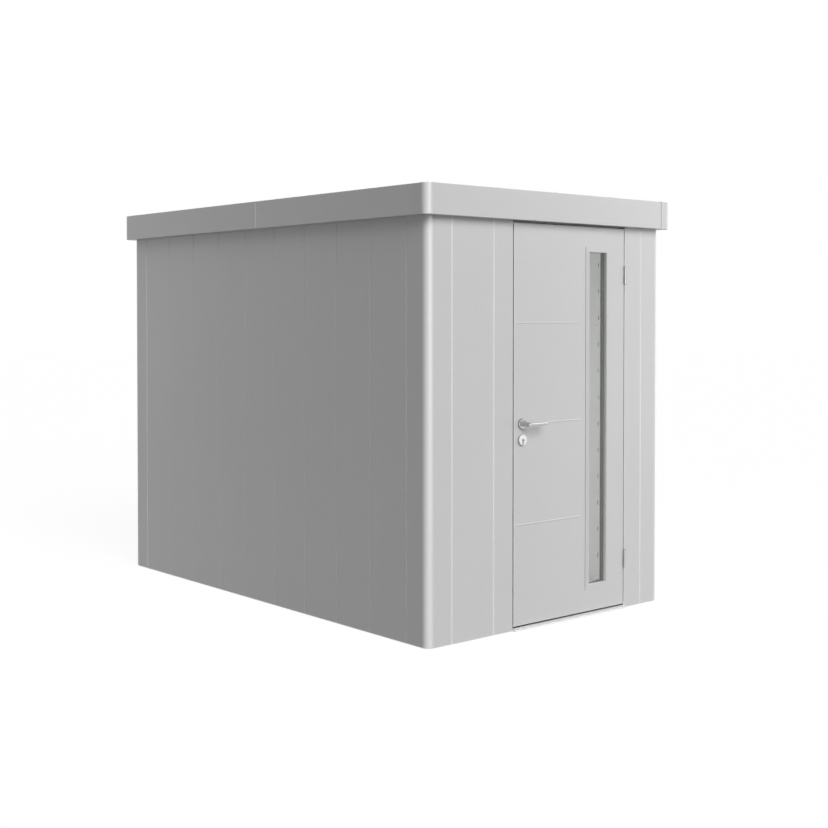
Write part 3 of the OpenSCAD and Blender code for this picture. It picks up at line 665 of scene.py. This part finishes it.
class SHED_OT_door_seals(bpy.types.Operator):
    """Run a bulb seal round the door stops, a lip under the leaf and beads in its upright gaps, the lip and
    beads black and near the face as painted shade in the gaps, and a dark line along the leaf's upright
    bead
    """

    bl_idname = "shed.door_seals"
    bl_label = "Seal the Door"

    def execute(self, context):
        fitting = context.scene.shed_fitting
        margin = 0.007
        foot, head = LEAF_LOW.z + margin, LEAF_HIGH.z - margin
        self.bulb(fitting.seal_size / 2, LEAF_LOW.x + margin, LEAF_HIGH.x - margin, foot, head)
        self.foot_lip()

        # Black beads just behind the face in the upright gaps: real seals placed to paint the gaps' shade
        r = fitting.gap_shade_bead / 2
        self.upright("leaf_gap_shade_bead", LEAF_LOW.x + 0.0008, LEAF_FACE + 0.0022, [(foot, head)], r, "door")
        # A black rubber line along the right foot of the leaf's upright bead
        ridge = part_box("door_outer_sheet")[0].y
        crest = [co for co in points("door_outer_sheet") if co.y < ridge + 1e-4]
        x = max(co.x for co in crest)
        levels = [co.z for co in crest if co.x > x - 1e-3]
        span = (min(levels), max(levels))
        self.upright("upright_bead_dark_line", x - 0.0016, ridge + 0.0006, [span], r * 1.8, "door")
        low, high = HINGE_FEET
        stops = ((foot, low), (low + HINGE_TALL, high), (high + HINGE_TALL, head))
        spans = [(start + r, end - r) for start, end in stops]
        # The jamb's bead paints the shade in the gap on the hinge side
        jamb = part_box("door_jamb_right")[0].x
        self.upright("jamb_gap_shade_bead", jamb + 0.0013, LEAF_FACE + 0.0026, spans, r, "shed")
        return {"FINISHED"}

    def bulb(self, r, left, right, foot, head):
        """A round seal on all four sides of the door stops, pressed flat a little."""
        y = STOP_LOW.y - r * 0.6
        bm = bmesh.new()
        for x in (left, right):
            rod(bm, (x, y, foot), (x, y, head), r)
        for z in (foot, head):
            rod(bm, (left, y, z), (right, y, z), r)
        emit("stop_seals", bm, "rubber")

    def foot_lip(self):
        """A rubber sole under the leaf with two lips that hang down, the front lip near the face so the gap
        under the leaf reads black: a real seal placed as painted shade.
        """
        end_gap, sole, sunk, drop, lip = 0.004, 0.0015, 0.0005, 0.0045, 0.002
        left, right, foot = LEAF_LOW.x + end_gap, LEAF_HIGH.x - end_gap, LEAF_LOW.z
        near, far = LEAF_FACE + 0.002, LEAF_FACE + 0.020
        bm = bmesh.new()
        block(bm, (left, near, foot - sole), (right, far, foot + sunk), ease=0.0005)
        for y in (near + 0.001, far - 0.005):
            block(bm, (left, y, foot - drop), (right, y + lip, foot), ease=0.0004)
        emit("leaf_foot_shade_seal", bm, "rubber", body="door")

    def upright(self, name, x, y, spans, r, body):
        """A thin round bead up an edge, in one or more lengths."""
        bm = bmesh.new()
        for foot, head in spans:
            rod(bm, (x, y, foot), (x, y, head), r)
        emit(name, bm, "rubber", body=body)


class SHED_OT_window_gaskets(bpy.types.Operator):
    """Bed the window pane between a bead and a wedge strip, and line its reveal on both sides: near white
    in front of the pane as painted light, near black behind it as painted shade
    """

    bl_idname = "shed.window_gaskets"
    bl_label = "Bed the Window Pane"

    def execute(self, context):
        inset, bead, wedge, lining = 0.0017, 0.003, 0.0065, 0.0022
        gasket = context.scene.shed_fitting.gasket_width
        left, right = PANE_LOW.x + inset, PANE_HIGH.x - inset
        foot, head = PANE_LOW.z + inset, PANE_HIGH.z - inset
        before, behind = PANE_LOW.y - bead, PANE_HIGH.y + wedge
        for name, finish, slot, near, far, width, ease in (
            ("window_bead", "gasket", None, before, PANE_LOW.y, gasket, 0.0008),
            ("window_wedge", "gasket", None, PANE_HIGH.y, behind, lining, 0.0006),
            # A near-black lining from the wedge to the back of the leaf: painted shade in the reveal behind
            # the pane
            ("window_shade_lining", "lining", None, behind, LEAF_BACK, lining, 0.0006),
            # A thin near-white lining over the front of the reveal: painted light that lifts the shaded
            # recess to the walls' tone
            ("painted_light_reveal", "cover", "alloy", LEAF_FACE, before, 0.0008, 0.0002),
        ):
            bm = bmesh.new()
            ring_frame(bm, (left, near, foot), (right, far, head), width, ease)
            emit(name, bm, finish, body="door", slot=slot)
        return {"FINISHED"}


class SHED_OT_hinge_caps(bpy.types.Operator):
    """Close both ends of the hinge barrels with flat caps"""

    bl_idname = "shed.hinge_caps"
    bl_label = "Cap the Hinges"

    def execute(self, context):
        r = (KNUCKLE_HIGH.x - KNUCKLE_LOW.x) / 2
        x, y = (KNUCKLE_LOW.x + KNUCKLE_HIGH.x) / 2, KNUCKLE_LOW.y + r

        def cap(bm):
            profile = ((1.02, 0), (1.02, 0.08), (0.84, 0.17), (0.5, 0.22), (0, 0.24))
            lathe(bm, [(r * out, r * up) for out, up in profile])

        heads = [(Vector((x, y, foot + HINGE_TALL)), UP) for foot in HINGE_FEET]
        feet = [(Vector((x, y, foot)), DOWN) for foot in HINGE_FEET]
        emit_copies("door_hinge_caps", cap, heads, "steel", body="door", slot="stainless")
        emit_copies("frame_hinge_caps", cap, feet, "steel", slot="stainless")
        return {"FINISHED"}


class SHED_OT_lock_trim(bpy.types.Operator):
    """Add black blocks that paint the shade of the key slots, the latch and bolt, the screws of the lock
    plate and the strike plate
    """

    bl_idname = "shed.lock_trim"
    bl_label = "Trim the Lock"

    def execute(self, context):
        low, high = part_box("lock_cylinder")
        r = (high.x - low.x) / 2
        x, z = (low.x + high.x) / 2, high.z - r
        ends = ((low.y, FRONT), (high.y, BACK))

        def plug(bm):
            profile = ((0.78, 0), (0.78, 0.0006), (0.70, 0.0009), (0.62, 0.0004), (0, 0.0004))
            lathe(bm, [(r * out, up) for out, up in profile])

        plugs = [(Vector((x, y, z)), way) for y, way in ends]
        emit_copies("key_plugs", plug, plugs, "steel", body="door", slot="stainless")
        # Black blocks on both plug ends: painted shade in place of the key slots' openings
        bm = bmesh.new()
        for y, way in ends:
            near, far = sorted((y, y + way.y * 0.0011))
            for half, under, over in ((0.0012, 0.52, 0.52), (0.0024, 0.10, 0.20)):
                block(bm, (x - half, near, z - r * under), (x + half, far, z + r * over), ease=0.0003)
        emit("key_slot_shade", bm, "rubber", body="door")

        case_low, case_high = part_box("lock_case")
        y = (case_low.y + case_high.y) / 2
        self.latch_and_bolt(y, z, context.scene.shed_fitting.screw_size * 0.7)
        self.strike_plate(y, z)
        return {"FINISHED"}

    def latch_and_bolt(self, y, z, size):
        """The noses of the latch and the bolt, and the screws above and below them."""
        edge, sunk = LEAF_LOW.x, 0.001
        bm = bmesh.new()
        for level, out, deep, rise, ease in (
            (HANDLE.z, 0.0025, 0.006, 0.015, 0.0009), (z, 0.0018, 0.005, 0.013, 0.0006),
        ):
            low = (edge - out, y - deep, level - rise)
            high = (edge + sunk, y + deep, level + rise)
            block(bm, low, high, ease)
        heads = [(Vector((edge, y, level)), LEFT) for level in (HANDLE.z + 0.047, z - 0.037)]
        stamp(bm, screw(size, 0.16), heads)
        emit("latch_and_bolt", bm, "steel", body="door", slot="stainless")

    def strike_plate(self, y, z):
        """A thin open plate on the jamb, facing the lock."""
        width, thick, tall, drop, bar = 0.020, 0.001, 0.18, 0.045, 0.004
        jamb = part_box("door_jamb_left")[1].x
        bm = bmesh.new()
        ring_frame(bm, (0, 0, 0), (width, thick, tall), bar, 0.0003)
        turn = Matrix.Rotation(math.radians(90), 4, "Z")
        place = Matrix.Translation((jamb + thick, y - width / 2, z - drop))
        bmesh.ops.transform(bm, matrix=place @ turn, verts=bm.verts)
        emit("strike_plate", bm, "steel", slot="stainless")


class SHED_OT_handle_trim(bpy.types.Operator):
    """Set the rosettes on thin black bases that paint shade round their rims, cover the key rosettes with
    near-white caps that paint a reflection, and ring and pin the lever necks
    """

    bl_idname = "shed.handle_trim"
    bl_label = "Trim the Handle"

    def execute(self, context):
        r = ROSETTE_R
        lever_low, lever_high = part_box("lever_outside")
        neck = (lever_high.z - lever_low.z) / 2
        lock_low, lock_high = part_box("lock_cylinder")

        def base(bm):
            lathe(bm, [
                (r * 0.5, 0), (r + 0.0006, 0), (r + 0.0009, 0.0012), (r + 0.0004, 0.0022),
                (r * 0.99, 0.0024),
            ])

        def collar(bm):
            profile = ((0, 0), (0.0022, 0), (0.0026, 0.0008), (0.0020, 0.0022), (0.0001, 0.0026))
            lathe(bm, [(neck + out, up) for out, up in profile])

        def cover(bm):
            """A cap over the rosette with a key-hole shaped opening for the lock cylinder."""
            play, proud, skirt, ease = 0.0004, 0.0008, 0.006, 0.0015
            plug = (lock_high.x - lock_low.x) / 2 + play
            level = Matrix.Translation((0, 0, proud))
            rim = bmesh.ops.create_circle(bm, segments=48, radius=r + play, matrix=level)["verts"]
            hole = bmesh.ops.create_circle(bm, segments=48, radius=plug, matrix=level)["verts"]
            stem = [vert for vert in hole if abs(vert.co.x) < plug * 0.65 and vert.co.y < 0]
            bmesh.ops.translate(bm, vec=(0, lock_low.z - play - KEY.z + plug, 0), verts=stem)
            outer = list({edge for vert in rim for edge in vert.link_edges})
            inner = list({edge for vert in hole for edge in vert.link_edges})
            bmesh.ops.bridge_loops(bm, edges=outer + inner)
            for edges, deep in ((outer, skirt), (inner, proud)):
                pushed = bmesh.ops.extrude_edge_only(bm, edges=edges)["geom"]
                verts = [item for item in pushed if isinstance(item, bmesh.types.BMVert)]
                bmesh.ops.translate(bm, vec=(0, 0, -deep), verts=verts)
            bmesh.ops.bevel(
                bm, geom=outer, offset=ease, segments=3, profile=0.5, affect="EDGES", material=-1,
            )

        sides = ((LEAF_FACE, FRONT), (LEAF_BACK, BACK))
        # Black rubber bases: real sub-base rings that also paint the dark shade round the rosettes' rims
        bases = [(Vector((HANDLE.x, y, z)), way) for y, way in sides for z in (HANDLE.z, KEY.z)]
        emit_copies("rosette_shade_bases", base, bases, "rubber", body="door")
        fronts = ((ROSETTE_LOW.y, FRONT), (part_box("inside_rosettes")[1].y, BACK))
        covers = [(Vector((KEY.x, y, KEY.z)), way) for y, way in fronts]
        # Near-white covers on the key rosettes: a painted reflection of the bright surroundings
        emit_copies("painted_reflection_key_caps", cover, covers, "cover", body="door", slot="stainless")
        bm = bmesh.new()
        stamp(bm, collar, [(Vector((HANDLE.x, y, HANDLE.z)), way) for y, way in fronts])
        pins = [(Vector((HANDLE.x, y + way.y * 0.012, HANDLE.z - neck)), DOWN) for y, way in fronts]
        stamp(bm, screw(0.006, 0.15), pins)
        emit("lever_trim", bm, "steel", body="handle", slot="stainless")
        return {"FINISHED"}


class SHED_OT_sill_grip(bpy.types.Operator):
    """Add grip ribs and screws to the sill"""

    bl_idname = "shed.sill_grip"
    bl_label = "Rib the Sill"

    def execute(self, context):
        ribs, pitch, half, proud, sunk, end_gap = 4, 0.006, 0.0012, 0.001, 0.0003, 0.02
        left, right, top = SILL_LOW.x + end_gap, SILL_HIGH.x - end_gap, SILL_HIGH.z
        bm = bmesh.new()
        for i in range(ribs):
            y = SILL_HIGH.y - pitch * (i + 1)
            block(bm, (left, y - half, top - sunk), (right, y + half, top + proud), ease=0.0004)
        screw_pitch, screw_in = 0.36, 0.016
        middle = Vector(((SILL_LOW.x + SILL_HIGH.x) / 2, LEAF_BACK - screw_in, top))
        screws = [(middle + LEFT * screw_pitch * side, UP) for side in (1, 0, -1)]
        stamp(bm, screw(context.scene.shed_fitting.screw_size, 0.12), screws)
        emit("sill_grip", bm, "alloy", slot="alloy")
        return {"FINISHED"}


class SHED_OT_fascia_screws(bpy.types.Operator):
    """Screw the fascia's top flange down, seal its joints and ring the gutter spout"""

    bl_idname = "shed.fascia_screws"
    bl_label = "Screw the Fascia Down"

    def execute(self, context):
        fitting = context.scene.shed_fitting
        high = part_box("fascia_corners")[1]
        inset, corner_gap = 0.022, 0.065
        places = []
        for span, reach, across in ((high.x, high.y, False), (high.y, high.x, True)):
            ends = span - corner_gap
            count = max(round(2 * ends / fitting.cap_screw_pitch), 1)
            for i in range(count + 1):
                along = -ends + 2 * ends * i / count
                for off in (inset - reach, reach - inset):
                    x, y = (off, along) if across else (along, off)
                    places.append((Vector((x, y, high.z)), UP))
        emit_copies("fascia_screws", screw(fitting.screw_size, 0.38), places, "fixing", slot="stainless")
        self.joint_beads(fitting.joint_bead / 2)
        self.spout_bead()
        return {"FINISHED"}

    def joint_beads(self, r):
        """A bead of seal in the step of the left fascia's joint, and its like on the right."""
        low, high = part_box("fascia_left")
        step = [co for co in points("fascia_left") if abs(co.y) < 0.05]
        along = min(co.y for co in step)
        out = min(co.x for co in step if co.y < along + 1e-4)
        bm = bmesh.new()
        for side in (1, -1):
            x, y = side * (out + r * 0.25), side * (along - r * 0.7)
            rod(bm, (x, y, low.z + r * 2), (x, y, high.z - r * 2), r)
        emit("fascia_joint_beads", bm, "coat", slot="silver_coat")

    def spout_bead(self):
        """A rolled bead round the end of the gutter's spout."""
        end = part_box("rear_gutter")[1].y
        rim = [co for co in points("rear_gutter") if co.y > end - 1e-4]
        left, right = min(co.x for co in rim), max(co.x for co in rim)
        foot, head = min(co.z for co in rim), max(co.z for co in rim)
        r = (right - left) / 2

        def bead(bm):
            lathe(bm, [(r, -0.005), (r + 0.0015, -0.004), (r + 0.0015, -0.001), (r, 0.0)])

        middle = Vector(((left + right) / 2, end, (foot + head) / 2))
        emit_copies("spout_bead", bead, [(middle, BACK)], "zinc", slot="galvanised")


class SHED_OT_roof_fixings(bpy.types.Operator):
    """Screw the roof pans to the beams and brace the gutter"""

    bl_idname = "shed.roof_fixings"
    bl_label = "Fix the Roof"

    def execute(self, context):
        pans = BVHTree.FromObject(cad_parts["roof_pans"], context.evaluated_depsgraph_get())
        low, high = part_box("roof_pans")
        beams_low, beams_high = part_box("roof_beams")
        rows, columns, end_gap, above = 4, 18, 0.025, 3.0
        first, last = beams_low.y + end_gap, beams_high.y - end_gap
        screws = []
        for row in range(rows):
            y = first + (last - first) * row / (rows - 1)
            for i in range(columns):
                if i % 3 == 1:
                    continue
                x = low.x + (high.x - low.x) * (i + 0.5) / columns
                spot, normal, _, _ = pans.ray_cast(Vector((x, y, above)), DOWN)
                if spot is None:
                    raise RuntimeError("a roof screw found no pan under it")
                screws.append((spot, normal))
        size = context.scene.shed_fitting.screw_size
        head = partial(hex_bolt, across=size * 0.8, height=size * 0.5)
        emit_copies("roof_screws", head, screws, "fixing", slot="stainless")

        gutter_low, gutter_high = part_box("rear_gutter")
        straps, half, thick, wall_in = 4, 0.009, 0.0015, 0.0033
        back, top = -LEAF_FACE - wall_in, gutter_high.z
        bm = bmesh.new()
        for i in range(straps):
            x = gutter_low.x + (gutter_high.x - gutter_low.x) * (i + 0.5) / straps
            block(bm, (x - half, gutter_low.y, top), (x + half, back, top + thick), ease=0.0005)
        emit("gutter_straps", bm, "zinc", slot="galvanised")
        return {"FINISHED"}


class SHED_OT_stage(bpy.types.Operator):
    """Set the floor, the light and the camera"""

    bl_idname = "shed.stage"
    bl_label = "Set the Stage"

    def execute(self, context):
        scene = context.scene
        stage = scene.shed_stage
        scene.view_settings.view_transform = "Standard"
        self.floor(scene, stage)
        self.world(scene, stage)
        self.lamps(scene, stage)
        self.camera(scene, stage)
        return {"FINISHED"}

    def seen(self, tree):
        """1 for rays that look at the background, directly, in metal or through glass."""
        path = wire(tree, "ShaderNodeLightPath").outputs
        metal = maths(tree, "MAXIMUM", path["Is Camera Ray"], path["Is Glossy Ray"])
        return maths(tree, "MAXIMUM", metal, path["Is Transmission Ray"])

    def floor(self, scene, stage):
        """A wide white floor that keeps the shed's shadow."""
        bm = bmesh.new()
        bmesh.ops.create_circle(bm, cap_ends=True, segments=96, radius=60.0)
        mesh = bpy.data.meshes.new("floor")
        bm.to_mesh(mesh)
        bm.free()
        made = bpy.data.materials.new("studio_floor")
        made.use_nodes = True
        tree = made.node_tree
        tree.nodes.clear()
        tone = stage.floor_tone
        dull = wire(tree, "ShaderNodeBsdfDiffuse", {"Color": (tone, tone, tone, 1.0)})
        glow = wire(tree, "ShaderNodeEmission", {
            "Color": (1.0, 1.0, 1.0, 1.0),
            "Strength": spread(tree, self.seen(tree), 0.0, stage.floor_white),
        })
        lit = wire(tree, "ShaderNodeAddShader", {0: dull.outputs[0], 1: glow.outputs[0]})
        wire(tree, "ShaderNodeOutputMaterial", {"Surface": lit.outputs[0]})
        mesh.materials.append(made)
        floor = bpy.data.objects.new("studio_floor", mesh)
        scene.collection.objects.link(floor)

    def world(self, scene, stage):
        """Faint light from above, and a white background where it is looked at."""
        world = bpy.data.worlds.new("studio")
        world.use_nodes = True
        tree = world.node_tree
        tree.nodes.clear()
        look = wire(tree, "ShaderNodeTexCoord").outputs["Generated"]
        way = wire(tree, "ShaderNodeSeparateXYZ", {"Vector": look}).outputs
        white = (1.0, 1.0, 1.0, 1.0)
        sky = spread(tree, way["Z"], stage.horizon, stage.zenith)
        lit = wire(tree, "ShaderNodeBackground", {"Color": white, "Strength": sky})
        plain = wire(tree, "ShaderNodeBackground", {"Color": white, "Strength": 1.0})
        mixed = wire(tree, "ShaderNodeMixShader", {
            0: self.seen(tree), 1: lit.outputs[0], 2: plain.outputs[0],
        })
        wire(tree, "ShaderNodeOutputWorld", {"Surface": mixed.outputs[0]})
        scene.world = world

    def hang(self, scene, data, place, aim, role):
        """Hangs a lamp that only lights dull surfaces, or only shows in shiny ones."""
        lamp = bpy.data.objects.new(data.name, data)
        lamp.location = place
        lamp.rotation_euler = (Vector(aim) - Vector(place)).to_track_quat("-Z", "Y").to_euler()
        lamp.visible_camera = lamp.visible_transmission = False
        lamp.visible_diffuse = role == "light"
        lamp.visible_glossy = role == "glint"
        scene.collection.objects.link(lamp)

    def lamps(self, scene, stage):
        """A soft high light in front, and panels with their place, aim, size, power and role."""
        key = bpy.data.lights.new("key_lamp", "SUN")
        key.energy = stage.key_strength
        key.angle = stage.key_spread
        self.hang(scene, key, (-1.95, -9.88, 6.61), (-0.3, -1.4, 1.0), "light")
        for name, place, aim, size, power, role in (
            ("glint_lamp", (-2.6, -8.2, 1.6), (-0.88, -1.44, 1.1), (4.0, 5.0), stage.glint_power, "glint"),
            ("gloss_lamp", (5.0, -4.8, 4.4), (-0.16, -1.47, 1.05), (2.0, 4.0), stage.gloss_power, "glint"),
            ("right_lamp", (2.8, -2.9, 1.5), (0.8, -1.4, 1.3), (1.0, 2.2), stage.right_power, "light"),
            ("side_lamp", (-3.0, 4.6, 1.9), (-0.9, 1.0, 1.1), (1.5, 2.0), stage.side_power, "light"),
            ("room_lamp", (-0.5, -0.6, 1.0), (0.8, -0.6, 0.9), (1.6, 1.9), stage.room_power, "light"),
        ):
            panel = bpy.data.lights.new(name, "AREA")
            panel.shape = "RECTANGLE"
            panel.size, panel.size_y = size
            panel.energy = power
            self.hang(scene, panel, place, aim, role)

    def camera(self, scene, stage):
        """A level camera with a long lens, a little above eye level."""
        data = bpy.data.cameras.new("camera")
        data.lens = stage.camera_lens
        data.shift_y = stage.camera_shift
        data.clip_end = 200.0
        camera = bpy.data.objects.new("camera", data)
        camera.location = stage.camera_place
        camera.rotation_euler = (math.pi / 2 - stage.camera_dip, 0.0, -stage.camera_heading)
        scene.collection.objects.link(camera)
        scene.camera = camera


class SHED_PT_panel(bpy.types.Panel):
    """Lists the steps and the settings of the shed's finish"""

    bl_idname = "SHED_PT_panel"
    bl_label = "Tool Shed"
    bl_space_type = "VIEW_3D"
    bl_region_type = "UI"
    bl_category = "Shed"

    def draw(self, context):
        column = self.layout.column()
        for step in STEPS:
            column.operator(step.bl_idname)
        scene = context.scene
        for group in (scene.shed_finish, scene.shed_fitting, scene.shed_stage):
            for name in group.__annotations__:
                column.prop(group, name)


STEPS = (
    SHED_OT_finish, SHED_OT_panel_clips, SHED_OT_hook_strips, SHED_OT_base_fixings, SHED_OT_door_seals,
    SHED_OT_window_gaskets, SHED_OT_hinge_caps, SHED_OT_lock_trim, SHED_OT_handle_trim, SHED_OT_sill_grip,
    SHED_OT_fascia_screws, SHED_OT_roof_fixings, SHED_OT_stage,
)
CLASSES = (ShedFinishSettings, ShedFittingSettings, ShedStageSettings, *STEPS, SHED_PT_panel)


def register():
    for cls in CLASSES:
        bpy.utils.register_class(cls)
    bpy.types.Scene.shed_finish = PointerProperty(type=ShedFinishSettings)
    bpy.types.Scene.shed_fitting = PointerProperty(type=ShedFittingSettings)
    bpy.types.Scene.shed_stage = PointerProperty(type=ShedStageSettings)


def unregister():
    del bpy.types.Scene.shed_stage
    del bpy.types.Scene.shed_fitting
    del bpy.types.Scene.shed_finish
    for cls in reversed(CLASSES):
        bpy.utils.unregister_class(cls)


def main():
    register()
    for step in STEPS:
        group, name = step.bl_idname.split(".")
        getattr(getattr(bpy.ops, group), name)()


if __name__ == "__main__":
    main()
